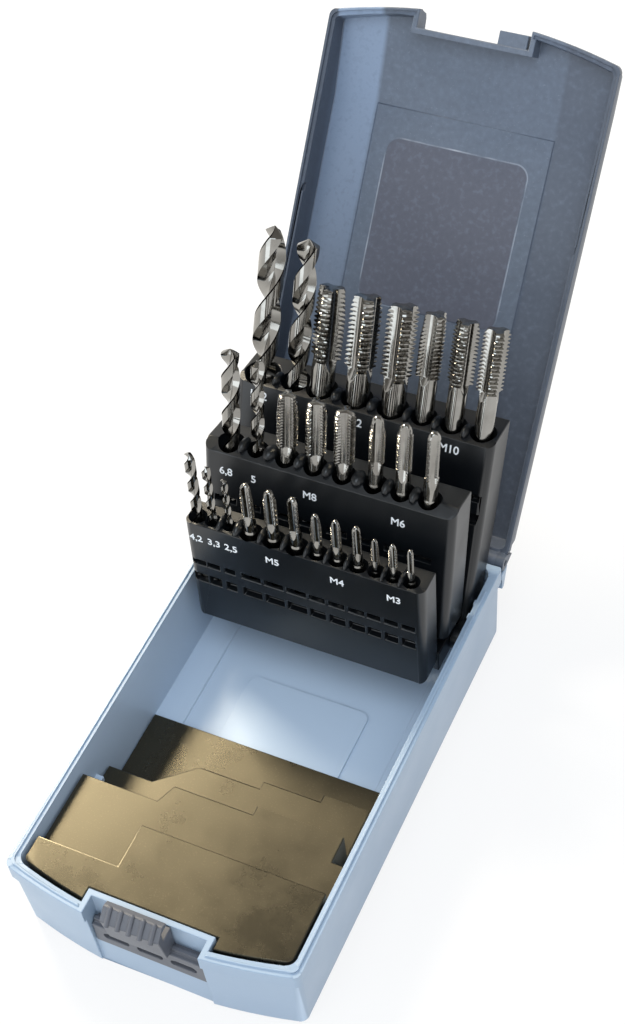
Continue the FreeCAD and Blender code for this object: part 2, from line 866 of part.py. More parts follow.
def make_front_rack(tools):
    outline = [
        (-front_rack_face, -front_rack_bottom), (-front_rack_back, -front_rack_bottom),
        (-front_rack_back, front_rack_top), (-front_rack_face, front_rack_top),
    ]
    block = rack_block(front_rack_width, -front_rack_bottom, front_rack_top, front_rack_face, outline)
    block = bored(block, front_rack_top, front_rack_top, front_rack_face, front_tool_depth, tools)
    block = block.fuse(arms(front_arm_inner, front_arm_outer, 0, -front_rack_back - over))
    block = block.cut(back_pockets(front_rack_width, -front_rack_back, 0, front_rack_top))
    return block.cut(rod_bore(front_rack_width)).removeSplitter()


def make_middle_rack(tools):
    lip = middle_rack_top - middle_rack_slant_drop
    outline = [
        (-middle_rack_face, -hub_bottom), (-middle_rack_back, -hub_bottom),
        (-middle_rack_back, middle_rack_top), (middle_rack_slant_run - middle_rack_face, middle_rack_top),
        (-middle_rack_face, lip),
    ]
    block = rack_block(middle_rack_width, -hub_bottom, lip, middle_rack_face, outline)
    front, back = -middle_rack_face - over, -middle_rack_back + over
    for a, b in both_sides(hub_half, middle_rack_width):
        block = block.cut(box(a, b, front, back, -hub_bottom - over, side_bottom))
    block = bored(block, lip, middle_rack_top, middle_rack_face, middle_tool_depth, tools)
    block = block.cut(back_pockets(middle_rack_width, -middle_rack_back, side_bottom, middle_rack_top))
    return block.cut(rod_bore(middle_rack_width)).removeSplitter()


def make_rear_rack(tools):
    low, high = rear_rack_shoulder_low, rear_rack_shoulder_high
    back, deep = -rear_rack_back, -rear_rack_back + rear_rack_shoulder
    lip = rear_rack_top - rear_rack_slant_drop
    peak = rear_rack_top + rear_rack_rise
    outline = [
        (-rear_rack_face, -rear_rack_bottom), (back, -rear_rack_bottom), (back, low),
        (deep, high), (deep, peak), (rear_rack_slant_run - rear_rack_face, rear_rack_top),
        (-rear_rack_face, lip),
    ]
    block = rack_block(rear_rack_width, -rear_rack_bottom, lip, rear_rack_face, outline)
    block = bored(block, lip, peak, rear_rack_face, rear_tool_depth, tools)
    block = block.fuse(arms(rear_arm_inner, rear_arm_outer, 0, -rear_rack_face + over))
    block = block.cut(back_pockets(rear_rack_width, deep, high, rear_rack_top))
    return block.cut(rod_bore(rear_rack_width)).removeSplitter()


def swung(shape, lean):
    """Puts a rack or tool that was made round the rod into its raised place."""
    shape.rotate(ORIGIN, X_AXIS, -lean)
    shape.translate(vec(0, rod_y, rod_z))
    return shape


# Stepped inlay under the folded racks


def inlay_level(points, top_drop, base):
    """Prism under one level; points are (x, distance back from the front corners) along its rear edge."""
    outline = [vec(x, front_y + back, base) for x, back in points]
    outline = [vec(points[0][0], -rim_length, base)] + outline + [vec(points[-1][0], -rim_length, base)]
    return extruded(outline, vec(0, 0, rim_z - top_drop - base))


def make_inlay():
    inset = rim_thickness + inner_draft + inlay_gap
    half = half_rim - inset
    blank = case_block([(inset, inlay_corner, ledge_z), (inset, inlay_corner, rim_z)])
    bulge_half = half_pocket + pocket_wall + inlay_gap
    blank = blank.cut(box(
        -bulge_half, bulge_half, front_y - front_bow, pocket_y + pocket_wall + inlay_gap, 0, rim_z + over
    ))
    inlay_rear = rod_from_front - front_rack_face - inlay_rear_gap
    level_a = inlay_level([(-half, inlay_rear), (half, inlay_rear)], level_a_drop, ledge_z)
    b_ramp_start = rod_from_front - drill_4_2_tip - b_ramp_gap
    b_five_edge = rod_from_front - tap_5_tip - b_five_gap
    b_four_edge = rod_from_front - tap_4_tip - b_four_gap
    b_three_edge = rod_from_front - tap_3_tip - b_three_gap
    b_four_left = b_four_left_share * half_rim
    b_three_left = b_three_left_share * half_rim
    b_right = b_right_share * half_rim
    level_b = inlay_level([
        (-half, b_ramp_start), (b_ramp_left_share * half_rim, b_ramp_start),
        (b_ramp_right_share * half_rim, b_five_edge),
        (b_four_left, b_five_edge), (b_four_left, b_four_edge),
        (b_three_left, b_four_edge), (b_three_left, b_three_edge), (b_right, b_three_edge),
    ], level_b_drop, ledge_z)
    c_drill_edge = rod_from_front - drill_6_8_tip - c_drill_gap
    c_eight_edge = rod_from_front - tap_8_tip - c_eight_gap
    c_six_edge = rod_from_front - tap_6_tip - c_six_gap
    c_notch_edge = c_six_edge - c_notch_depth
    c_drill_right = c_drill_right_share * half_rim
    c_six_left = c_six_left_share * half_rim
    c_notch_left = c_notch_left_share * half_rim
    level_c = inlay_level([
        (-half, c_drill_edge), (c_drill_right - c_slant, c_drill_edge), (c_drill_right, c_eight_edge),
        (c_six_left, c_eight_edge), (c_six_left, c_six_edge), (c_notch_left, c_six_edge),
        (c_notch_left, c_notch_edge), (half, c_notch_edge),
    ], level_c_drop, ledge_z)
    d_drill_edge = rod_from_front - drill_10_2_tip - d_drill_gap
    d_tap_edge = rod_from_front - tap_10_tip - d_tap_gap
    d_drill_right = d_drill_right_share * half_rim
    level_d = inlay_level([
        (-half, d_drill_edge), (d_drill_right, d_drill_edge), (d_drill_right, d_tap_edge), (half, d_tap_edge),
    ], level_d_drop, ledge_z)
    return level_a.fuse([level_b, level_c, level_d]).common(blank).removeSplitter()


# All pieces


def make_all():
    front_tools = [
        drill_entry(
            "4_2", drill_4_2_diameter, drill_4_2_length, drill_4_2_flutes, half_front,
            drill_4_2_place_share, drill_4_2_tip,
        ),
        drill_entry(
            "3_3", drill_3_3_diameter, drill_3_3_length, drill_3_3_flutes, half_front,
            drill_3_3_place_share, drill_3_3_tip,
        ),
        drill_entry(
            "2_5", drill_2_5_diameter, drill_2_5_length, drill_2_5_flutes, half_front,
            drill_2_5_place_share, drill_2_5_tip,
        ),
        *tap_set(
            5, tap_5_thread, tap_5_shank, tap_5_length, tap_5_cut, half_front,
            tap_5_first_share, tap_5_pitch_share, tap_5_tip,
        ),
        *tap_set(
            4, tap_4_thread, tap_4_shank, tap_4_length, tap_4_cut, half_front,
            tap_4_first_share, tap_4_pitch_share, tap_4_tip,
        ),
        *tap_set(
            3, tap_3_thread, tap_3_shank, tap_3_length, tap_3_cut, half_front,
            tap_3_first_share, tap_3_pitch_share, tap_3_tip,
        ),
    ]
    middle_tools = [
        drill_entry(
            "6_8", drill_6_8_diameter, drill_6_8_length, drill_6_8_flutes, half_middle,
            drill_6_8_place_share, drill_6_8_tip,
        ),
        drill_entry(
            "5_0", drill_5_0_diameter, drill_5_0_length, drill_5_0_flutes, half_middle,
            drill_5_0_place_share, drill_5_0_tip,
        ),
        *tap_set(
            8, tap_8_thread, tap_8_shank, tap_8_length, tap_8_cut, half_middle,
            tap_8_first_share, tap_8_pitch_share, tap_8_tip,
        ),
        *tap_set(
            6, tap_6_thread, tap_6_shank, tap_6_length, tap_6_cut, half_middle,
            tap_6_first_share, tap_6_pitch_share, tap_6_tip,
        ),
    ]
    rear_tools = [
        drill_entry(
            "10_2", drill_10_2_diameter, drill_10_2_length, drill_10_2_flutes, half_rear,
            drill_10_2_place_share, drill_10_2_tip,
        ),
        drill_entry(
            "8_5", drill_8_5_diameter, drill_8_5_length, drill_8_5_flutes, half_rear,
            drill_8_5_place_share, drill_8_5_tip,
        ),
        *tap_set(
            12, tap_12_thread, tap_12_shank, tap_12_length, tap_12_cut, half_rear,
            tap_12_first_share, tap_12_pitch_share, tap_12_tip,
        ),
        *tap_set(
            10, tap_10_thread, tap_10_shank, tap_10_length, tap_10_cut, half_rear,
            tap_10_first_share, tap_10_pitch_share, tap_10_tip,
        ),
    ]
    pieces = {
        "tray": make_tray(),
        "inlay": make_inlay(),
        "latch_frame": make_latch_frame(),
        "latch_slide": make_latch_slide(),
        "lid": make_lid(),
        "hinge_pin_left": make_hinge_pin(-1),
        "hinge_pin_right": make_hinge_pin(1),
        "rack_rod": make_rack_rod(),
        "rack_front": swung(make_front_rack(front_tools), front_rack_lean),
        "rack_middle": swung(make_middle_rack(middle_tools), middle_rack_lean),
        "rack_rear": swung(make_rear_rack(rear_tools), rear_rack_lean),
    }
    groups = (
        (front_tools, front_rack_face, front_tool_depth, front_rack_lean),
        (middle_tools, middle_rack_face, middle_tool_depth, middle_rack_lean),
        (rear_tools, rear_rack_face, rear_tool_depth, rear_rack_lean),
    )
    for tools, face, depth, lean in groups:
        for name, _, length, place, tip, shape in tools:
            shape.translate(vec(place, -face + depth, tip - length))
            pieces[name] = swung(shape, lean)
    return pieces


def main():
    os.makedirs("parts", exist_ok=True)
    for name, shape in make_all().items():
        solids = shape.Solids
        print(name, len(solids), "solid, valid", shape.isValid(), "volume", round(shape.Volume))
        result = solids[0] if len(solids) == 1 else shape
        result.exportStep(f"parts/{name}.step")


main()
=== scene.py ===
# %% [markdown]
# # A case of taps and drills that opens like a flight of steps
#
# The object is a flat plastic case. A grey-blue tray carries three black racks on one hidden rod. As the
# slate lid opens, the racks swing up behind each other, and every drill and tap stands ready in its socket.
# The construction comes in finished and in metres. This lesson dresses it: plastics, ground steel, threads,
# helical flutes and printed size numbers, then light and camera.

# %% Load the construction
import json
import math
import bmesh
import bpy
from mathutils import Matrix, Vector
from mathutils.bvhtree import BVHTree


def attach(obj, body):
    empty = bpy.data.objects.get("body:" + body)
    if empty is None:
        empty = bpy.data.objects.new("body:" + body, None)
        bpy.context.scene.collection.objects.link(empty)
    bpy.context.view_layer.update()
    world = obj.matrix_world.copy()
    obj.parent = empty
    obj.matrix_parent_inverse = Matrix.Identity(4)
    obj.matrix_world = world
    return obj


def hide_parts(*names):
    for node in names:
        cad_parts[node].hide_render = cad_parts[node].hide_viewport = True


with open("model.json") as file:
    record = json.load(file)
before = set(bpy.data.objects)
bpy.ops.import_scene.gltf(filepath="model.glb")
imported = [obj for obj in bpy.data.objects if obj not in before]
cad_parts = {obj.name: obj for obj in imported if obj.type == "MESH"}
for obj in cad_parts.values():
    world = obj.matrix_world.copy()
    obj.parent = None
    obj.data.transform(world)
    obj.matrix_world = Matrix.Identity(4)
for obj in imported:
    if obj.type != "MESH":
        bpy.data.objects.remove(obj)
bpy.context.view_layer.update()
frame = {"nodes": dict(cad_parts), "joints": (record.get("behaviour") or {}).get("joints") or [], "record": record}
nodes = frame["nodes"]

# %% [markdown]
# ## Sums on node sockets
#
# A formula such as `depth * (1 - wear)` needs several Math nodes. Placed one by one they hide the formula.
# The class below wraps a socket, so that Python's own operators add the nodes. It works in shader trees and
# in geometry trees, because both take the same Math node.

# %% Sockets that can be added and multiplied


def plug(tree, socket, value):
    """Puts a number, a colour or another node's output into a socket."""
    if isinstance(value, Wire):
        tree.links.new(value.socket, socket)
    else:
        socket.default_value = value


def add_node(tree, kind, settings=None, values=None, output=0):
    """Adds a node, sets it up, fills its sockets and returns one output."""
    node = tree.nodes.new(kind)
    for name, value in (settings or {}).items():
        setattr(node, name, value)
    for key, value in (values or {}).items():
        plug(tree, node.inputs[key], value)
    return Wire(tree, node.outputs[output])


class Wire:
    """An output of a node that can be used in sums."""

    def __init__(self, tree, socket):
        self.tree = tree
        self.socket = socket

    def math(self, operation, *others):
        values = dict(enumerate((self, *others)))
        return add_node(self.tree, "ShaderNodeMath", {"operation": operation}, values)

    def reversed_math(self, operation, first):
        return add_node(self.tree, "ShaderNodeMath", {"operation": operation}, {0: first, 1: self})

    def __add__(self, other):
        return self.math("ADD", other)

    __radd__ = __add__

    def __mul__(self, other):
        return self.math("MULTIPLY", other)

    __rmul__ = __mul__

    def __sub__(self, other):
        return self.math("SUBTRACT", other)

    def __rsub__(self, other):
        return self.reversed_math("SUBTRACT", other)

    def __truediv__(self, other):
        return self.math("DIVIDE", other)

    def __rtruediv__(self, other):
        return self.reversed_math("DIVIDE", other)

    def least(self, other):
        return self.math("MINIMUM", other)

    def most(self, other):
        return self.math("MAXIMUM", other)

    def above(self, other):
        return self.math("GREATER_THAN", other)

    def ramp(self, low, high, start=0.0, end=1.0):
        """Straight line from (low, start) to (high, end), held flat outside."""
        values = {0: self, 1: low, 2: high, 3: start, 4: end}
        return add_node(self.tree, "ShaderNodeMapRange", {}, values)

    def fall(self, low, high):
        """1 up to low, then straight down to 0 at high."""
        return self.ramp(low, high, 1.0, 0.0)


def coordinates(tree, place):
    """The x, y and z of a place as three numbers."""
    return [add_node(tree, "ShaderNodeSeparateXYZ", {}, {0: place}, output=n) for n in range(3)]


print("sockets now take +, -, * and /")

# %% [markdown]
# ## A tree that makes a shape
#
# Drills and taps follow a rule: at every height and angle the surface has a radius. A tree of Geometry Nodes
# turns a plain tube into such a piece by moving its points. Its sizes are named inputs, so one tree makes a
# whole set of tools. Cutting the grooves out of a rod with Boolean modifiers would work too, but a cutter
# that winds round a drill leaves ragged edges and has to be made again for each size. The result is read back
# as a plain mesh, and the modifier goes.

# %% Put objects into the scene and work their modifiers in


def add_object(name, data):
    """Puts a mesh, a text, a lamp or a camera into the scene."""
    thing = bpy.data.objects.new(name, data)
    bpy.context.scene.collection.objects.link(thing)
    return thing


def plain_mesh(carrier):
    """The mesh that an object's modifiers make. The object itself is removed."""
    seen = carrier.evaluated_get(bpy.context.evaluated_depsgraph_get())
    mesh = bpy.data.meshes.new_from_object(seen)
    bpy.data.objects.remove(carrier)
    return mesh


print("objects can come and go")

# %% Start a geometry tree and read back what it makes

socket_kind = {
    "Geometry": "Geometry", "Columns": "Int", "Rows": "Int", "Foot": "Vector", "Rotation": "Vector",
    "Material": "Material",
}


def start_tree(name, labels):
    """A geometry tree with one named input for each label, a number unless the table above says otherwise."""
    tree = bpy.data.node_groups.new(name, "GeometryNodeTree")
    tree.is_modifier = True
    tree.interface.new_socket("Geometry", in_out="OUTPUT", socket_type="NodeSocketGeometry")
    for label in labels:
        kind = "NodeSocket" + socket_kind.get(label, "Float")
        tree.interface.new_socket(label, in_out="INPUT", socket_type=kind)
    start = tree.nodes.new("NodeGroupInput")
    return tree, {socket.name: Wire(tree, socket) for socket in start.outputs if socket.name}


def close_tree(tree, geometry, material):
    """Turns instances into real faces, gives them their material and ends the tree."""
    real = add_node(tree, "GeometryNodeRealizeInstances", {}, {"Geometry": geometry})
    coated = add_node(tree, "GeometryNodeSetMaterial", {}, {"Geometry": real, "Material": material})
    plug(tree, tree.nodes.new("NodeGroupOutput").inputs["Geometry"], coated)


def make_from_tree(tree, name, values, start=None):
    """Runs a tree on a mesh, or on an empty one, and returns the result as a plain object."""
    carrier = add_object(name + "_carrier", start or bpy.data.meshes.new(name + "_carrier"))
    modifier = carrier.modifiers.new("shape", "NODES")
    modifier.node_group = tree
    for label, value in values.items():
        modifier[tree.interface.items_tree[label].identifier] = value
    mesh = plain_mesh(carrier)
    mesh.name = name
    return add_object(name, mesh)


print("ready to build trees")

# %% Turn a tube into a tool, given its radius at every height and angle

tool_crease = math.radians(32)


def tube_points(tree, sizes, fine_start, fine_share):
    """A tube from 0 to the length, with most of its rows above one height."""
    tube = add_node(tree, "GeometryNodeMeshCylinder", {"fill_type": "NGON"}, {
        "Vertices": sizes["Columns"], "Side Segments": sizes["Rows"], "Radius": 1.0, "Depth": 1.0,
    })
    place = add_node(tree, "GeometryNodeInputPosition")
    x, y, z = coordinates(tree, place)
    share = z + 0.5
    low = share.ramp(0.0, 1.0 - fine_share, 0.0, fine_start)
    high = share.ramp(1.0 - fine_share, 1.0, 0.0, sizes["Length"] - fine_start)
    angle = y.math("ARCTAN2", x)
    return tube, angle, low + high


def finish_tool(tree, sizes, tube, angle, radius, height):
    """Moves the tube's points, turns the tool into its place and closes the tree."""
    x = radius * angle.math("COSINE")
    y = radius * angle.math("SINE")
    place = add_node(tree, "ShaderNodeCombineXYZ", {}, {"X": x, "Y": y, "Z": height})
    shaped = add_node(tree, "GeometryNodeSetPosition", {}, {"Geometry": tube, "Position": place})
    smooth = add_node(tree, "GeometryNodeSetShadeSmooth", {"domain": "FACE"}, {
        "Geometry": shaped, "Shade Smooth": True,
    })
    soft = add_node(tree, "GeometryNodeInputMeshEdgeAngle").math("LESS_THAN", tool_crease)
    creased = add_node(tree, "GeometryNodeSetShadeSmooth", {"domain": "EDGE"}, {
        "Geometry": smooth, "Shade Smooth": soft,
    })
    put = add_node(tree, "GeometryNodeTransform", {}, {
        "Geometry": creased, "Translation": sizes["Foot"], "Rotation": sizes["Rotation"],
    })
    close_tree(tree, put, sizes["Material"])


def groove_radius(turned, centre, cutter):
    """Distance from the axis to the wall of a round groove, at an angle from the groove's middle."""
    across = centre * turned.math("SINE")
    left = cutter * cutter - across * across
    wall = centre * turned.math("COSINE") - left.most(0.0).math("SQRT")
    return wall + (1.0 - left.above(0.0))


print("tube, groove and finish are ready")

# %% [markdown]
# ## Taps
#
# A tap is a screw with three straight grooves that make its cutting edges. Its thread winds once round for
# each pitch, so the crest height depends on `height / pitch - angle / turn`. The lead at the tip lets it
# start in a hole. Small taps end in a point, large ones in a flat face. Below the thread follows a neck, then
# the shank with a squared end for the wrench. A Screw modifier could wind the thread, but the grooves would
# still have to be cut through it. As one radius formula, thread, lead and grooves meet in clean edges.

# %% The tap tree

tap_sizes = (
    "Length", "Thread diameter", "Pitch", "Thread length", "Lead length", "Tip diameter", "Point length",
    "Neck diameter", "Neck length", "Shank diameter", "Square width", "Square length", "Groove place",
    "Columns", "Rows", "Foot", "Rotation", "Material",
)
tap_tree, size = start_tree("tap", tap_sizes)
thread_start = size["Length"] - size["Thread length"]
neck_start = thread_start - size["Neck length"]
tube, angle, height = tube_points(tap_tree, size, neck_start, fine_share=0.8)
hair = 0.00001  # keeps a ramp from having no length

thread_radius = size["Thread diameter"] / 2
neck_radius = size["Neck diameter"] / 2
shank_radius = size["Shank diameter"] / 2
tip_radius = size["Tip diameter"] / 2
from_tip = size["Length"] - height
print("tap tree takes", len(tap_sizes), "inputs")

# %% Shank of the tap with its square, falling to the neck

fall_length = 3.0  # times the step between shank and neck
cosine, sine = (angle.math(kind).math("ABSOLUTE") for kind in ("COSINE", "SINE"))
flat = size["Square width"] / 2 / cosine.most(sine)
in_square = size["Square length"].above(height)
shank = shank_radius.least(flat + (1.0 - in_square))
slope = (shank_radius - neck_radius).most(0.0)
fallen = height.ramp(neck_start, neck_start + slope * fall_length + hair, 0.0, -1.0)
body = shank.least(fallen * slope + neck_radius + slope)
print("shank and neck", len(tap_tree.nodes), "nodes")

# %% Thread of the tap with flat crests, thinned to the lead and the point

swing, flat_crest, depth_share = 0.8, 0.5, 0.3
blunt_start, point_swell = 0.02, 1.02
turns = height / size["Pitch"] - angle / math.tau
wave = (turns * math.tau).math("COSINE") * swing
crest = thread_radius - size["Pitch"] * depth_share * (1.0 - wave.least(flat_crest) * 2.0)
in_thread = height.above(thread_start)
lead_step = thread_radius - tip_radius
lead = from_tip.ramp(size["Point length"], size["Lead length"]) * lead_step + tip_radius
share = from_tip.ramp(0.0, size["Point length"] + hair, blunt_start, 1.0)
point = (share * (2.0 - share)).math("SQRT") * tip_radius * point_swell + from_tip.above(size["Point length"])
head = crest.least(lead).least(point)
plain = body * (1.0 - in_thread) + head * in_thread
print("with thread", len(tap_tree.nodes), "nodes")

# %% Three grooves of the tap that run out in the neck

groove_middle, groove_cut = 1.02, 0.6  # of the thread's radius
third = math.tau / 3
turned = (((angle - size["Groove place"]) / third + 0.5).math("FRACT") - 0.5) * third
run_out = height.ramp(neck_start, thread_start, thread_radius, 0.0)
groove = groove_radius(turned, thread_radius * groove_middle + run_out, thread_radius * groove_cut)
finish_tool(tap_tree, size, tube, angle, plain.least(groove), height)
print("tap tree has", len(tap_tree.nodes), "nodes")

# %% [markdown]
# ## Drills
#
# A twist drill is a rod with two helical grooves. Seen in section it has two lands. Only a narrow margin at
# the front of each land reaches the full size, and the rest is ground back. The section turns once for each
# lead, and the last part shrinks to a point of 118 degrees. A section could be drawn once and twisted
# upwards, but then the point and the end of the flutes are extra work. Here the formula has them, and the
# tube's columns turn along with the section, so each edge of a groove stays on one column and comes out
# clean.

# %% The drill tree

drill_sizes = (
    "Length", "Diameter", "Flute length", "Lead", "Margin depth",
    "Columns", "Rows", "Foot", "Rotation", "Material",
)
drill_tree, size = start_tree("drill", drill_sizes)
flute_start = size["Length"] - size["Flute length"]
tube, angle, height = tube_points(drill_tree, size, flute_start, fine_share=0.92)

point_angle, chisel_share = 118, 0.04
drill_radius = size["Diameter"] / 2
point_height = drill_radius * math.tan(math.radians(90 - point_angle / 2))
from_tip = size["Length"] - height
shrink = from_tip.ramp(0.0, point_height, chisel_share, 1.0)
print("point is", point_angle, "degrees wide")

# %% Two lands and two flutes of the drill

margin_end, flute_phase = 0.055, 0.735  # of the turn from one land to the next
flute_middle, flute_cut, flute_end = 0.98, 0.83, 3  # of the drill's radius
half = math.tau / 2
phase = ((angle - flute_start / size["Lead"] * math.tau) / half).math("FRACT")
twisted = angle + (height - flute_start).most(0.0) / size["Lead"] * math.tau
margin = drill_radius - size["Margin depth"] * phase.above(margin_end)
flute_turn = (phase - flute_phase) * half
run_out = height.ramp(flute_start, flute_start + drill_radius * flute_end, drill_radius, 0.0)
flute = groove_radius(flute_turn, drill_radius * flute_middle + run_out, drill_radius * flute_cut)
in_flutes = height.above(flute_start)
land = margin * in_flutes + drill_radius * (1.0 - in_flutes)
finish_tool(drill_tree, size, tube, twisted, land.least(flute) * shrink, height)
print("drill tree has", len(drill_tree.nodes), "nodes")

# %% [markdown]
# ## Plastics
#
# Moulded plastic is never one flat colour. The mould leaves a fine grain, large faces vary a little, and dust
# settles as pale specks. The grain is a bump and the rest is colour. A picture of plastic would need the
# piece unwrapped and would show where it repeats. Noise in Object coordinates needs neither and stays put on
# the piece.

# %% A start for every material


def start_material(name, roughness, metallic=0.0):
    """A material with a plain shader, and the place on the object as a vector."""
    material = bpy.data.materials.new(name)
    material.use_nodes = True
    tree = material.node_tree
    shader = tree.nodes["Principled BSDF"]
    shader.inputs["Roughness"].default_value = roughness
    shader.inputs["Metallic"].default_value = metallic
    place = add_node(tree, "ShaderNodeTexCoord", output=3)
    return material, tree, shader, place


def colour(red, green, blue):
    """Turns a screen colour of 0 to 255 into the linear colour that a shader takes."""
    def linear(value):
        share = value / 255
        return share / 12.92 if share <= 0.04045 else ((share + 0.055) / 1.055) ** 2.4
    return (linear(red), linear(green), linear(blue), 1.0)


def noise(tree, place, scale, detail=2.0, roughness=0.5):
    values = {"Vector": place, "Scale": scale, "Detail": detail, "Roughness": roughness}
    return add_node(tree, "ShaderNodeTexNoise", {}, values)


def mixed(tree, factor, first, second):
    values = {0: factor, 6: first, 7: second}
    return add_node(tree, "ShaderNodeMix", {"data_type": "RGBA"}, values, output=2)


def bumped(tree, shader, height, strength, distance):
    values = {"Height": height, "Strength": strength, "Distance": distance}
    plug(tree, shader.inputs["Normal"], add_node(tree, "ShaderNodeBump", {}, values))


print("material helpers are ready")

# %% The case's plastics


def moulded_plastic(name, base, shade, speck, roughness, speck_amount, grain):
    """Plastic with a soft change of tone, fine grain and pale specks."""
    material, tree, shader, place = start_material(name, roughness)
    cloud = noise(tree, place, scale=14.0, detail=3.0).ramp(0.35, 0.65)
    tone = mixed(tree, cloud, base, shade)
    dots = noise(tree, place, scale=1500.0, detail=1.0).ramp(1.0 - speck_amount, 1.04 - speck_amount)
    plug(tree, shader.inputs["Base Color"], mixed(tree, dots * 0.35, tone, speck))
    smear = noise(tree, place, scale=50.0, detail=3.0)
    plug(tree, shader.inputs["Roughness"], smear.ramp(0.3, 0.7, roughness - 0.04, roughness + 0.05))
    bumped(tree, shader, noise(tree, place, scale=2600.0), strength=grain, distance=0.00005)
    return material


tray_plastic = moulded_plastic(
    "tray_plastic", colour(151, 170, 190), colour(145, 164, 185), colour(178, 192, 207),
    roughness=0.34, speck_amount=0.26, grain=0.1,
)
lid_plastic = moulded_plastic(
    "lid_plastic", colour(89, 99, 115), colour(82, 92, 107), colour(126, 134, 148),
    roughness=0.42, speck_amount=0.3, grain=0.2,
)
latch_plastic = moulded_plastic(
    "latch_plastic", colour(92, 94, 101), colour(86, 88, 95), colour(122, 124, 130),
    roughness=0.42, speck_amount=0.26, grain=0.1,
)
rack_plastic = moulded_plastic(
    "rack_plastic", colour(11, 15, 19), colour(8, 11, 15), colour(30, 34, 40),
    roughness=0.32, speck_amount=0.26, grain=0.1,
)
inlay_plastic = moulded_plastic(
    "inlay_plastic", colour(22, 21, 18), colour(16, 15, 14), colour(66, 60, 48),
    roughness=0.3, speck_amount=0.36, grain=0.3,
)
print("plastics", [m.name for m in bpy.data.materials])

# %% [markdown]
# ## Gloss of the black pieces
#
# The black pieces live by what they mirror. The inlay's mirror light is strong and golden: a higher index makes
# it strong, and the golden Specular Tint is painted warmth that stands in for warm light. Its roughness changes
# in patches. The racks are only a little glossier than plain plastic. Tint and strength are the same all over,
# so they are set on the shader itself.

# %% Gloss of inlay and racks


def finish_of(material):
    """Node tree and shader of a material, the place on the object and the colour so far."""
    tree = material.node_tree
    shader = tree.nodes["Principled BSDF"]
    place = add_node(tree, "ShaderNodeTexCoord", output=3)
    return tree, shader, place, Wire(tree, shader.inputs["Base Color"].links[0].from_socket)


inlay_tree, inlay_shader, inlay_place = finish_of(inlay_plastic)[:3]
# painted warmth: a golden tint on the inlay's reflections that stands in for warm light
inlay_shader.inputs["Specular Tint"].default_value = (1.0, 0.89, 0.62, 1.0)
inlay_shader.inputs["IOR"].default_value = 1.75
rubbed = noise(inlay_tree, inlay_place, scale=38.0, detail=6.0, roughness=0.62)
plug(inlay_tree, inlay_shader.inputs["Roughness"], rubbed.ramp(0.36, 0.64, 0.25, 0.36))
rack_shader = rack_plastic.node_tree.nodes["Principled BSDF"]
rack_shader.inputs["IOR"].default_value = 1.58
print("gloss", [round(shader.inputs["IOR"].default_value, 2) for shader in (inlay_shader, rack_shader)])

# %% [markdown]
# ## Painted light inside the tray
#
# The inside of the tray is painted paler than the outside, as painted light that brightens its walls and
# floor. A place is inside where it is nearer to the middle than the walls are. A second material on the inner
# faces would end in a hard line on the rounded rim. A mask can fade, so each wall gets the two places between
# which the outside turns into the inside.

# %% Painted light inside the tray

side_wall, front_wall, rear_wall = (0.0541, 0.0544), (-0.0905, -0.0895), (0.0885, 0.0889)
tray_floor, tray_rim = (0.0006, 0.001), (0.0374, 0.0376)
inside_light_share = 0.8
tray_tree, tray_shader, tray_place, tray_tone = finish_of(tray_plastic)
tray_x, tray_y, tray_z = coordinates(tray_tree, tray_place)
inside = tray_x.math("ABSOLUTE").fall(*side_wall) * tray_y.ramp(*front_wall) * tray_y.fall(*rear_wall)
inside = inside * tray_z.ramp(*tray_floor) * tray_z.fall(*tray_rim)
# painted light: the inside is painted paler, as if more light reached the tray's walls and floor
painted_inside_light = mixed(tray_tree, inside * inside_light_share, tray_tone, colour(188, 205, 224))
plug(tray_tree, tray_shader.inputs["Base Color"], painted_inside_light)
print("tray tree", len(tray_tree.nodes), "nodes")

# %% [markdown]
# ## Lid colour with painted light and shade
#
# The lid is one piece of plastic. The label field is smoother and a little purple, and its edge gets a painted
# highlight, broken up by noise, where its ridge catches the light. The strip beside it on the left is painted
# paler as painted light and the one on the right darker as painted shade, the walls and rim get painted shade,
# and the whole face is mottled. All that could be painted by hand on an image, but a formula can be moved later
# and never runs out of pixels. A distance to the field's rounded outline gives both its inside and its edge.
# The lid stands open, so a place along it is measured from the hinge in the lid's own direction.

# %% Outline of the label field

lid_opening, hinge_y, hinge_z = 128.1, 0.0929, 0.037
field_middle, field_half_width, field_half_length, field_corner = 0.1119, 0.023, 0.026, 0.005
lid_tree, lid_shader, lid_place, lid_tone_and_painted_light = finish_of(lid_plastic)
lid_x, lid_y, lid_z = coordinates(lid_tree, lid_place)
lean = math.radians(lid_opening - 90)
along = (lid_y - hinge_y) * math.sin(lean) + (lid_z - hinge_z) * math.cos(lean)
side_gap = (lid_x.math("ABSOLUTE") - field_half_width).most(0.0)
end_gap = ((along - field_middle).math("ABSOLUTE") - field_half_length).most(0.0)
outline = (side_gap * side_gap + end_gap * end_gap).math("SQRT") - field_corner
field = outline.fall(-0.0003, 0.0)
edge = outline.ramp(-0.0002, 0.0001) * outline.fall(0.0003, 0.0006)
print("label field is", round(2 * (field_half_width + field_corner), 3), "m wide")
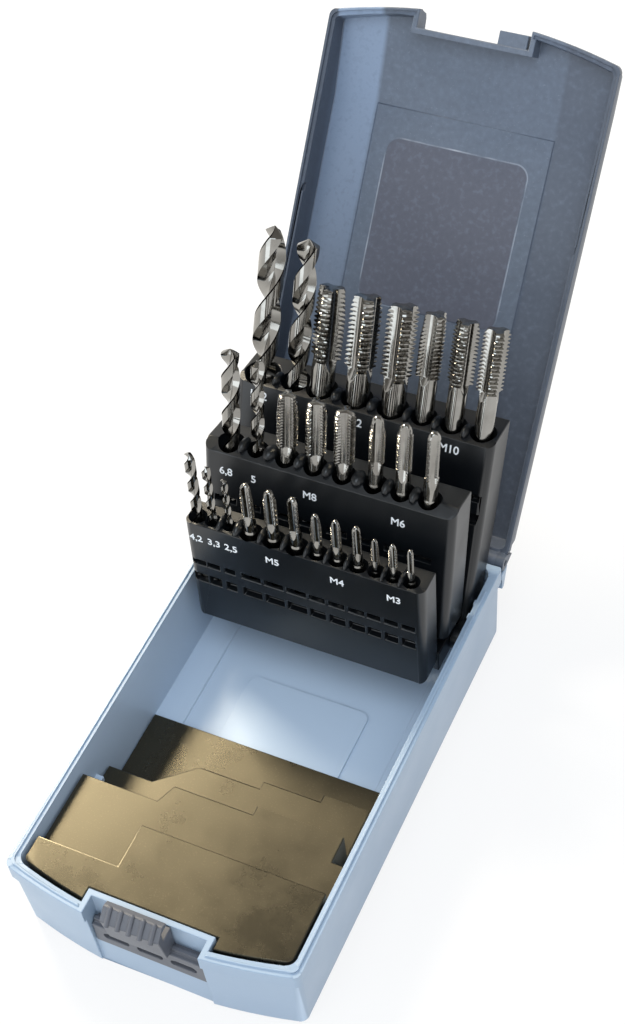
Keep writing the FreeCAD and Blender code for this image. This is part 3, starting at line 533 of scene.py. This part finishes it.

# %% Painted light and shade strips, mottling and painted edge highlight of the lid

left_strip, right_strip = (-0.0365, -0.0345), (0.0343, 0.0357)
left_wall, right_wall, both_walls = (-0.0533, -0.0528), (0.0528, 0.0533), (0.0524, 0.0528)
# painted light: a paler strip left of the label field
painted_light_strip = lid_x.fall(*left_strip) * lid_x.ramp(*left_wall) * along.ramp(0.07, 0.16, 0.2, 0.9)
# painted shade: a darker strip right of the label field
painted_shade_strip = lid_x.ramp(*right_strip, 0.0, 0.6) * lid_x.fall(*right_wall)
mottle = noise(lid_tree, lid_place, scale=520.0, detail=6.0)
# noise that breaks up the painted highlight on the label field's edge
highlight_breakup = noise(lid_tree, lid_place, scale=90.0).ramp(0.35, 0.6)
layers = (
    (painted_light_strip, colour(126, 143, 167)),
    (painted_shade_strip, colour(74, 80, 93)),
    (field * 0.85, colour(77, 79, 92)),
    (mottle.ramp(0.52, 0.78, 0.0, 0.3), colour(112, 124, 144)),
    (mottle.ramp(0.28, 0.48, 0.2, 0.0), colour(60, 66, 79)),
    # painted highlight along the label field's edge, where its ridge catches the light
    (edge * highlight_breakup * 0.6, colour(170, 176, 188)),
    # painted shade: the lid's walls and rim are darkened
    (lid_x.math("ABSOLUTE").ramp(*both_walls, 0.0, 0.55), colour(58, 64, 76)),
)
for mask, shade in layers:
    lid_tone_and_painted_light = mixed(lid_tree, mask, lid_tone_and_painted_light, shade)
plug(lid_tree, lid_shader.inputs["Base Color"], lid_tone_and_painted_light)
print("lid has", len(layers), "layers of colour")

# %% [markdown]
# ## Ground steel
#
# Drills and taps are ground bright, and the wheel leaves fine lines round the tool. The lines draw each
# highlight out along the tool. The Anisotropic input, turned by a quarter, does that without a line being
# drawn. Faint stains and patches of duller metal keep the steel from looking new.

# %% Steels


def ground_steel(name, base, shade, roughness):
    """Metal with faint stains and patches of duller shine."""
    material, tree, shader, place = start_material(name, roughness, 1.0)
    stain = noise(tree, place, scale=90.0, detail=3.0).ramp(0.4, 0.7)
    plug(tree, shader.inputs["Base Color"], mixed(tree, stain, base, shade))
    wear = noise(tree, place, scale=400.0)
    plug(tree, shader.inputs["Roughness"], wear.ramp(0.35, 0.65, roughness - 0.04, roughness + 0.06))
    return material


tool_steel = ground_steel("tool_steel", colour(160, 158, 153), colour(136, 133, 128), roughness=0.11)
tool_shader = tool_steel.node_tree.nodes["Principled BSDF"]
tool_shader.inputs["Anisotropic"].default_value = 0.7
tool_shader.inputs["Anisotropic Rotation"].default_value = 0.25
pin_steel = ground_steel("pin_steel", colour(190, 190, 190), colour(170, 170, 170), roughness=0.3)
print("steels are ready")

# %% [markdown]
# ## Finishes on the construction
#
# The record names a finish for each piece of the construction. The same names lead to the materials here, so
# each piece gets its own.

# %% Put each finish on its node

finishes = {
    "tray_plastic": tray_plastic, "lid_plastic": lid_plastic, "latch_plastic": latch_plastic,
    "rack_plastic": rack_plastic, "inlay_plastic": inlay_plastic,
    "pin_steel": pin_steel, "tool_steel": tool_steel,
}
slot_of = {part["node"]: part["material_slot"] for part in frame["record"]["subparts"]}
for name, node in nodes.items():
    node.data.materials.clear()
    node.data.materials.append(finishes[slot_of[name]])
print("finished nodes", len(nodes))

# %% [markdown]
# ## Moulded edges
#
# No moulded piece has a knife edge. Each plastic piece is copied from the construction, its loose triangles
# are merged, and every sharp edge gets a narrow rounding that catches the light. A Bevel node in the material
# could pretend such an edge, but only in a render, so the shape itself is rounded. The copy takes the place
# of the plain piece and moves with the same body.

# %% Merge a plastic piece and mark its sharp edges

plastic_crease = math.radians(28)
merge_distance = 0.000002
shortest_edge = 0.0008  # a shorter one stays sharp


def merged_copy(name):
    """The node's mesh with its loose triangles merged and its sharp edges marked for the bevel."""
    shape = bmesh.new()
    shape.from_mesh(nodes[name].data)
    bmesh.ops.remove_doubles(shape, verts=shape.verts, dist=merge_distance)
    for face in shape.faces:
        face.smooth = True
    weight = shape.edges.layers.float.new("bevel_weight_edge")
    for edge in shape.edges:
        sharp = edge.calc_face_angle() > plastic_crease
        edge.smooth = not sharp
        edge[weight] = float(sharp and edge.calc_length() > shortest_edge)
    mesh = bpy.data.meshes.new(name + "_moulded")
    shape.to_mesh(mesh)
    shape.free()
    return mesh


print("edges sharper than", round(math.degrees(plastic_crease)), "degrees will be rounded")

# %% Round the edges of the plastic pieces

body_of = {
    "tray": "case", "inlay": "case", "latch_frame": "case", "lid": "lid", "latch_slide": "latch_slide",
    "rack_front": "rack_front", "rack_middle": "rack_middle", "rack_rear": "rack_rear",
}
rounding_of = {
    "tray": 0.0003, "inlay": 0.0004, "latch_frame": 0.0003, "lid": 0.0003, "latch_slide": 0.0003,
    "rack_front": 0.0004, "rack_middle": 0.0004, "rack_rear": 0.0004,
}


def soften(name):
    """A copy of a node with rounded edges, which takes the node's place."""
    carrier = add_object(name + "_carrier", merged_copy(name))
    bevel = carrier.modifiers.new("edges", "BEVEL")
    bevel.width = rounding_of[name]
    bevel.segments = 2
    bevel.limit_method = "WEIGHT"
    bevel.use_clamp_overlap = False
    carrier.modifiers.new("normals", "WEIGHTED_NORMAL").keep_sharp = True
    mesh = plain_mesh(carrier)
    mesh.materials.clear()
    mesh.materials.append(finishes[slot_of[name]])
    piece = add_object(name + "_moulded", mesh)
    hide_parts(name)
    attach(piece, body_of[name])
    return piece


moulded = [soften(name) for name in body_of]
print("rounded", {piece.name: len(piece.data.polygons) for piece in moulded})

# %% [markdown]
# ## Find the tools
#
# The places of 28 tools could be typed in, but they would be wrong as soon as the construction changes, so
# they are read from it. Each tool lifts along its rack, and its lift joint gives the direction of its axis.
# The foot of the tool is the middle of its lowest points along that axis. So the dressed tool stands exactly
# where the plain one stood.

# %% Read every tool's place from the frame

across = Vector((1, 0, 0))
foot_depth = 0.0005  # points this near to the lowest one make the foot
lift_axis = {
    joint["child"]: Vector(joint["axis"]) for joint in frame["joints"] if joint["name"].endswith("_lift")
}


def tool_place(name):
    """Foot, rotation and length of a tool, read from its plain shape."""
    axis = lift_axis[name].normalized()
    points = [v.co for v in nodes[name].data.vertices]
    heights = [p.dot(axis) for p in points]
    low, high = min(heights), max(heights)
    foot = [p for p, h in zip(points, heights) if h < low + foot_depth]
    depth = axis.cross(across)
    x = (min(p.dot(across) for p in foot) + max(p.dot(across) for p in foot)) / 2
    y = (min(p.dot(depth) for p in foot) + max(p.dot(depth) for p in foot)) / 2
    lean = math.atan2(axis.y, axis.z)
    return across * x + depth * y + axis * low, Vector((-lean, 0, 0)), high - low


for name in ("drill_10_2", "tap_m3_taper"):
    print(name, [round(c, 4) for c in tool_place(name)[0]], round(tool_place(name)[2], 4))

# %% [markdown]
# ## Dress the tools
#
# Standard tables give the rest: the pitch of each thread, the shank of each tap and the fluted length of each
# drill. Where a size isn't in a table, it is a share of the tool's own size. Sizes are in millimetres in the
# tables and become metres in the call.

# %% Make the taps

MM = 0.001
pitch_of = {12: 1.75, 10: 1.5, 8: 1.25, 6: 1.0, 5: 0.8, 4: 0.7, 3: 0.5}
shank_of = {12: 9.0, 10: 7.0, 8: 6.0, 6: 5.6, 5: 5.2, 4: 4.2, 3: 3.2}
cut_of = {12: 28.0, 10: 24.0, 8: 22.0, 6: 19.0, 5: 16.0, 4: 13.0, 3: 11.0}
groove_of = {
    12: (-25, -1, 5), 10: (-103, -25, -1), 8: (-70, -64, -75), 6: (-62, -75, -55),
    5: (-85, -76, -92), 4: (-70, -84, -62), 3: (-80, -66, -90),
}
lead_share = {"taper": 0.42, "second": 0.22, "bottoming": 0.1}
core_pitches = 1.2  # how much thinner the thread is at its root
neck_share, neck_length_share = 0.9, 0.5  # of the thread's diameter and length
square_share, square_length_share = 0.8, 1.1  # of the shank's diameter
largest_pointed, pointed, flat_ended = 6, 0.5, 0.06  # up to M6 a tap ends in a point
tap_columns, rows_per_turn = 72, 10


def dress_tap(size, number, stage):
    """A threaded and grooved tap in the place of the plain one."""
    name = f"tap_m{size}_{stage}"
    foot, rotation, length = tool_place(name)
    cut = cut_of[size]
    core = size - core_pitches * pitch_of[size]
    neck = min(shank_of[size], size * neck_share)
    point_length = size * (pointed if size <= largest_pointed else flat_ended)
    piece = make_from_tree(tap_tree, name + "_threaded", {
        "Length": length, "Thread diameter": size * MM, "Pitch": pitch_of[size] * MM,
        "Thread length": cut * MM, "Lead length": cut * lead_share[stage] * MM, "Tip diameter": core * MM,
        "Point length": point_length * MM, "Neck diameter": neck * MM,
        "Neck length": cut * neck_length_share * MM, "Shank diameter": shank_of[size] * MM,
        "Square width": shank_of[size] * square_share * MM,
        "Square length": shank_of[size] * square_length_share * MM,
        "Groove place": math.radians(groove_of[size][number]),
        "Columns": tap_columns, "Rows": int(cut / pitch_of[size] * rows_per_turn),
        "Foot": foot, "Rotation": rotation, "Material": tool_steel,
    })
    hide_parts(name)
    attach(piece, name)
    return piece


taps = [dress_tap(size, number, stage) for size in pitch_of for number, stage in enumerate(lead_share)]
print("taps", len(taps), "faces", sum(len(t.data.polygons) for t in taps))

# %% Make the drills

flutes_of = {"10_2": 87.0, "8_5": 75.0, "6_8": 69.0, "5_0": 52.0, "4_2": 43.0, "3_3": 36.0, "2_5": 30.0}
lead_diameters, margin_share = 4.65, 0.018  # of the drill's diameter
drill_columns, drill_rows = 96, 260


def drill_diameter(label):
    """Reads 10.2 from 10_2."""
    return float(label.replace("_", "."))


def dress_drill(label):
    """A fluted drill in the place of the plain one."""
    name = f"drill_{label}"
    foot, rotation, length = tool_place(name)
    diameter = drill_diameter(label)
    piece = make_from_tree(drill_tree, name + "_fluted", {
        "Length": length, "Diameter": diameter * MM, "Flute length": flutes_of[label] * MM,
        "Lead": diameter * lead_diameters * MM, "Margin depth": diameter * margin_share * MM,
        "Columns": drill_columns, "Rows": drill_rows,
        "Foot": foot, "Rotation": rotation, "Material": tool_steel,
    })
    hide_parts(name)
    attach(piece, name)
    return piece


drills = [dress_drill(label) for label in flutes_of]
print("drills", len(drills), "faces", sum(len(d.data.polygons) for d in drills))

# %% [markdown]
# ## Bumps between the sockets
#
# Between two sockets the front edge of each rack carries a round bump that keeps the shanks apart. The bumps
# could be modelled one by one, but they differ only in place and width. So the places are the points of a
# small mesh, and one tree puts a rounded bump on each point, widened by that point's own number.

# %% The bump tree

bump_tree, given = start_tree("bumps", ("Geometry", "Depth", "Height", "Rotation", "Material"))
ball = add_node(bump_tree, "GeometryNodeMeshUVSphere", {}, {"Segments": 16, "Rings": 10, "Radius": 1.0})
round_ball = add_node(bump_tree, "GeometryNodeSetShadeSmooth", {}, {"Geometry": ball, "Shade Smooth": True})
half_width = add_node(bump_tree, "GeometryNodeInputNamedAttribute", {"data_type": "FLOAT"}, {
    "Name": "half_width",
})
stretch = add_node(bump_tree, "ShaderNodeCombineXYZ", {}, {
    "X": half_width, "Y": given["Depth"], "Z": given["Height"],
})
placed = add_node(bump_tree, "GeometryNodeInstanceOnPoints", {}, {
    "Points": given["Geometry"], "Instance": round_ball, "Rotation": given["Rotation"], "Scale": stretch,
})
close_tree(bump_tree, placed, given["Material"])
print("bump tree has", len(bump_tree.nodes), "nodes")

# %% Find the front face of a rack


def tap_names(*sizes):
    return [f"tap_m{size}_{stage}" for size in sizes for stage in lead_share]


rack_tools = {
    "rack_front": ["drill_4_2", "drill_3_3", "drill_2_5"] + tap_names(5, 4, 3),
    "rack_middle": ["drill_6_8", "drill_5_0"] + tap_names(8, 6),
    "rack_rear": ["drill_10_2", "drill_8_5"] + tap_names(12, 10),
}
look_depth = 0.012  # the front face is looked for this near to the top


def rack_face(rack):
    """Up direction, forward direction and the heights of top and front face along them."""
    up = lift_axis[rack_tools[rack][0]].normalized()
    forward = up.cross(across) * -1
    points = [v.co for v in nodes[rack].data.vertices]
    top = max(p.dot(up) for p in points)
    return up, forward, top, max(p.dot(forward) for p in points if p.dot(up) > top - look_depth)


for rack in rack_tools:
    print(rack, [round(v, 4) for v in rack_face(rack)[2:]])

# %% Find the gaps between the sockets of a rack

narrowest_shank, socket_play, narrowest_gap = 3.5, 0.0014, 0.0004


def tool_x(name):
    return tool_place(name)[0].x


def socket_radius(name):
    """Half the width of the socket that holds a tool."""
    kind, size = name.split("_", 1)
    if kind == "drill":
        width = drill_diameter(size)
    else:
        width = max(shank_of[int(size.split("_")[0][1:])], narrowest_shank)
    return width * 0.5 * MM + socket_play


def socket_gaps(rack):
    """Both ends of each gap that is wide enough for a bump."""
    tools = rack_tools[rack]
    gaps = [(tool_x(a) + socket_radius(a), tool_x(b) - socket_radius(b)) for a, b in zip(tools, tools[1:])]
    return [(low, high) for low, high in gaps if high - low >= narrowest_gap]


print("gaps", {rack: len(socket_gaps(rack)) for rack in rack_tools})

# %% Put bumps between the tools of each rack

bump_depth, bump_height, bump_setback, bump_sink = 0.0042, 0.0027, 0.0044, 0.0002
bump_overlap, widest_bump = 0.0008, 0.0032
well_above = 0.2  # where the search for the rack's top starts


def bumps_on(rack):
    """Bumps on the front edge of a rack, one in each gap between its sockets."""
    up, forward, _, face = rack_face(rack)
    plain = nodes[rack].data
    solid = BVHTree.FromPolygons([v.co for v in plain.vertices], [tuple(p.vertices) for p in plain.polygons])
    points, widths = [], []
    for low, high in socket_gaps(rack):
        spot = across * ((low + high) / 2) + forward * (face - bump_setback) + up * well_above
        points.append(solid.ray_cast(spot, -up)[0] - up * bump_sink)
        widths.append(min((high - low) / 2 + bump_overlap, widest_bump))
    places = bpy.data.meshes.new(rack + "_bump_places")
    places.from_pydata(points, [], [])
    places.attributes.new("half_width", "FLOAT", "POINT").data.foreach_set("value", widths)
    piece = make_from_tree(bump_tree, rack + "_bumps", {
        "Depth": bump_depth, "Height": bump_height, "Rotation": Vector((-math.atan2(up.y, up.z), 0, 0)),
        "Material": rack_plastic,
    }, places)
    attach(piece, rack)
    return piece


bumps = [bumps_on(rack) for rack in rack_tools]
print("bumps", {piece.name: len(piece.data.polygons) for piece in bumps})

# %% [markdown]
# ## Size numbers
#
# White size numbers are printed on the front of each rack, below the tools they belong to. A picture of them
# in the rack's material would blur from near by. A text object becomes a thin mesh first and is then laid on
# the face, where it stays sharp.

# %% White print

white_print, tree, shader, place = start_material("white_print", roughness=0.6)
wear = noise(tree, place, scale=700.0).ramp(0.3, 0.75)
plug(tree, shader.inputs["Base Color"], mixed(tree, wear, colour(246, 248, 250), colour(214, 218, 222)))
print("print is", white_print.name)

# %% Print a text on a rack

capital_share = 0.7  # height of a capital letter as a share of the font's size
ink = 0.00002
stroke_spread = 0.00007


def print_on_rack(text, rack, x, drop, height, name):
    """Lays a flat text on a rack's front face, its middle at x and its top below the rack's top."""
    up, forward, top, face = rack_face(rack)
    curve = bpy.data.curves.new(name, "FONT")
    curve.body = text
    curve.align_x = "CENTER"
    curve.align_y = "TOP"
    curve.size = height / capital_share
    curve.extrude = ink
    curve.bevel_depth = stroke_spread
    curve.bevel_resolution = 1
    mesh = plain_mesh(add_object(name + "_maker", curve))
    origin = across * x + up * (top - drop) + forward * (face + ink)
    basis = Matrix((across, up, forward)).transposed().to_4x4()
    mesh.transform(Matrix.Translation(origin) @ basis)
    mesh.materials.clear()
    mesh.materials.append(white_print)
    piece = add_object(name, mesh)
    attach(piece, rack)
    return piece


print("a text is", ink, "m thick")

# %% Print all size numbers

label_height = 0.0031
label_shift = 0.0015  # the rear numbers stand a little right of their tools
label_drop = {"front": 0.005, "middle": 0.0086, "rear": 0.0073}
labels = [
    ("4,2", "front", -0.0426), ("3,3", "front", -0.0353), ("2,5", "front", -0.0284),
    ("M5", "front", -0.0118), ("M4", "front", 0.0137), ("M3", "front", 0.0356),
    ("6,8", "middle", -0.04), ("5", "middle", -0.0288), ("M8", "middle", -0.0063), ("M6", "middle", 0.0281),
]
rear_tool = {"10,2": "drill_10_2", "8,5": "drill_8_5", "M12": "tap_m12_second", "M10": "tap_m10_second"}
for text, tool in rear_tool.items():
    labels.append((text, "rear", tool_x(tool) + label_shift))
for number, (text, row, x) in enumerate(labels):
    print_on_rack(text, "rack_" + row, x, label_drop[row], label_height, f"print_{row}_{number}")
print("printed", len(labels), "numbers")

# %% [markdown]
# ## Floor, light and camera
#
# The floor is pale and seen as white, straight as well as in a mirror or through glass, but it lights the
# object no more than a plain floor does. Light Path tells the two kinds of rays apart. Three soft lamps light
# the case: a small warm one behind it on the left, a large cool one above, and a large cool one low in front.
# The surroundings fill the shadows, and what mirrors the ceiling mirrors a dim room. The camera stands where
# the photographer stood, found from the corners of the case.

# %% Floor


def shown_rays(tree):
    """1 for rays that show a thing, straight, in a mirror or through glass. 0 for rays that light things."""
    kinds = ("Is Camera Ray", "Is Glossy Ray", "Is Transmission Ray")
    straight, mirrored, through_glass = (add_node(tree, "ShaderNodeLightPath", output=kind) for kind in kinds)
    return (straight + mirrored + through_glass).least(1.0)


reach, glow_share = 4.0, 0.8
floor_corners = [(-reach, -reach, 0), (reach, -reach, 0), (reach, reach, 0), (-reach, reach, 0)]
floor_mesh = bpy.data.meshes.new("floor")
floor_mesh.from_pydata(floor_corners, [], [(0, 1, 2, 3)])
floor = add_object("floor", floor_mesh)
floor_paint = bpy.data.materials.new("floor_paint")
floor_paint.use_nodes = True
tree = floor_paint.node_tree
shader = tree.nodes["Principled BSDF"]
shader.inputs["Base Color"].default_value = (0.8, 0.8, 0.8, 1)
shader.inputs["Roughness"].default_value = 0.9
glow = add_node(tree, "ShaderNodeEmission", {}, {"Color": (1, 1, 1, 1), "Strength": 1.0})
mix = add_node(tree, "ShaderNodeMixShader", {}, {
    0: shown_rays(tree) * glow_share, 1: Wire(tree, shader.outputs[0]), 2: glow,
})
plug(tree, tree.nodes["Material Output"].inputs["Surface"], mix)
floor_mesh.materials.append(floor_paint)
print("floor is", 2 * reach, "m wide")

# %% World

world = bpy.data.worlds.new("studio")
bpy.context.scene.world = world
world.use_nodes = True
tree = world.node_tree
background = tree.nodes["Background"]
white, fill, dim = (1, 1, 1, 1), (0.93, 0.965, 1.0, 1), (0.25, 0.243, 0.228, 1)
fill_strength = 0.76
room_edge = (0.3, 0.55)  # how steeply a mirrored ray has to climb to meet the dim room
shown = shown_rays(tree)
direction = add_node(tree, "ShaderNodeTexCoord", output=0)
above = coordinates(tree, direction)[2].ramp(*room_edge)
room = mixed(tree, above * add_node(tree, "ShaderNodeLightPath", output="Is Glossy Ray"), white, dim)
plug(tree, background.inputs["Color"], mixed(tree, shown, fill, room))
plug(tree, background.inputs["Strength"], shown.ramp(0.0, 1.0, fill_strength, 1.0))
print("surroundings light with", fill_strength)

# %% Lamps


def soft_box(name, place, aim, width, power, tint):
    """A square area lamp that looks at a point."""
    lamp = bpy.data.lights.new(name, "AREA")
    lamp.size = width
    lamp.energy = power
    lamp.color = tint
    holder = add_object(name, lamp)
    holder.location = place
    holder.rotation_euler = (Vector(aim) - Vector(place)).to_track_quat("-Z", "Y").to_euler()


middle = (0.0, 0.0, 0.05)
soft_box("warm_box", (-0.62, 0.46, 0.78), middle, width=0.31, power=13.5, tint=(1.0, 0.88, 0.68))
soft_box("top_box", (0.2, -0.4, 1.1), middle, width=0.8, power=6.5, tint=(0.8, 0.9, 1.0))
soft_box("sky_box", (-0.5, -1.2, 0.35), middle, width=0.9, power=4.0, tint=(0.82, 0.92, 1.0))
print("lamps", len(bpy.data.lights))

# %% Camera

camera_place = (0.2191, -0.3158, 0.6007)
camera_turn, camera_tilt, camera_roll = 31.47, 38.78, -8.28
camera = add_object("camera", bpy.data.cameras.new("camera"))
placing = Matrix.Translation(camera_place)
for degrees, axis in ((camera_turn, "Z"), (camera_tilt, "X"), (camera_roll, "Z")):
    placing = placing @ Matrix.Rotation(math.radians(degrees), 4, axis)
camera.matrix_world = placing
camera.data.sensor_fit = "VERTICAL"
camera.data.sensor_height = 36.0
camera.data.lens = 66.45
camera.data.shift_x = 0.008
camera.data.shift_y = 0.0393
camera.data.clip_start = 0.01
bpy.context.scene.camera = camera
bpy.context.scene.view_settings.view_transform = "Standard"
print("camera looks down by", round(90 - camera_tilt, 1), "degrees")
